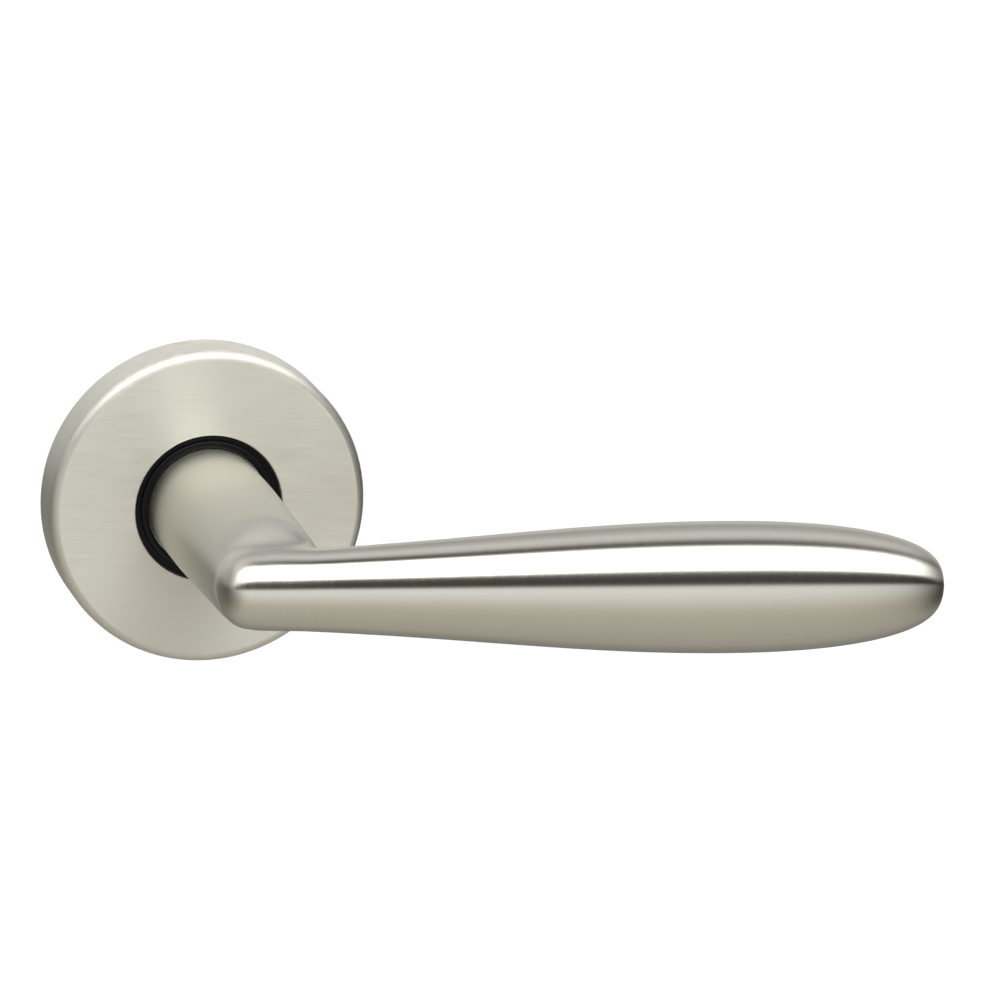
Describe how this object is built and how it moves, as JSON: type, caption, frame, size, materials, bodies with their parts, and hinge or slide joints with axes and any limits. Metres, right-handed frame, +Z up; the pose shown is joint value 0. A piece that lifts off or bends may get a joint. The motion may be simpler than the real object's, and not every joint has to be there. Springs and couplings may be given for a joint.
{
  "type": "door lever handle",
  "caption": "Sprung lever handle with a swelling oval grip on a round clip-on rose, with a square spindle and through bolts for one side of an interior door.",
  "frame": {"origin": "where the spindle's axis meets the face of the door, behind the middle of the rose", "axes": "+X along the grip, away from the rose; +Y into the door, along the spindle; +Z up"},
  "size_m": [0.1421, 0.1274, 0.055],
  "materials": {
    "satin_nickel": "satin brushed nickel, warm grey",
    "black_nylon": "moulded black nylon, glossy",
    "grey_nylon": "moulded dark grey glass-filled nylon",
    "zinc_steel": "zinc-plated steel",
    "spring_steel": "drawn spring steel, lightly oiled",
    "black_steel": "blackened steel"
  },
  "bodies": {
    "base": {"rose_base": "grey_nylon", "bearing_bush": "black_nylon", "clip_ring": "spring_steel", "spring_housing": "zinc_steel", "return_spring": "spring_steel", "through_bolt_upper": "zinc_steel", "through_bolt_lower": "zinc_steel", "bolt_washer_upper": "zinc_steel", "bolt_washer_lower": "zinc_steel", "housing_screw_1": "zinc_steel", "housing_screw_2": "zinc_steel", "housing_screw_3": "zinc_steel", "housing_screw_4": "zinc_steel"},
    "lever": {"lever": "satin_nickel", "spring_driver": "zinc_steel", "wave_washer": "spring_steel", "back_washer": "zinc_steel", "circlip": "spring_steel", "spindle": "zinc_steel", "grub_screw": "black_steel"},
    "cover": {"rose_cover": "satin_nickel", "neck_ring": "black_nylon"}
  },
  "joints": [
    {"name": "lever_turn", "type": "hinge", "parent": "base", "child": "lever", "pos_m": [0, 0, 0], "axis": [0, 1, 0], "range_deg": [0, 45], "stiffness_Nm_per_rad": 0.6, "springref_deg": -45.84, "deforming": ["return_spring"]},
    {"name": "cover_slide", "type": "slide", "parent": "base", "child": "cover", "axis": [0, -1, 0], "range_m": [0, 0.02]}
  ]
}
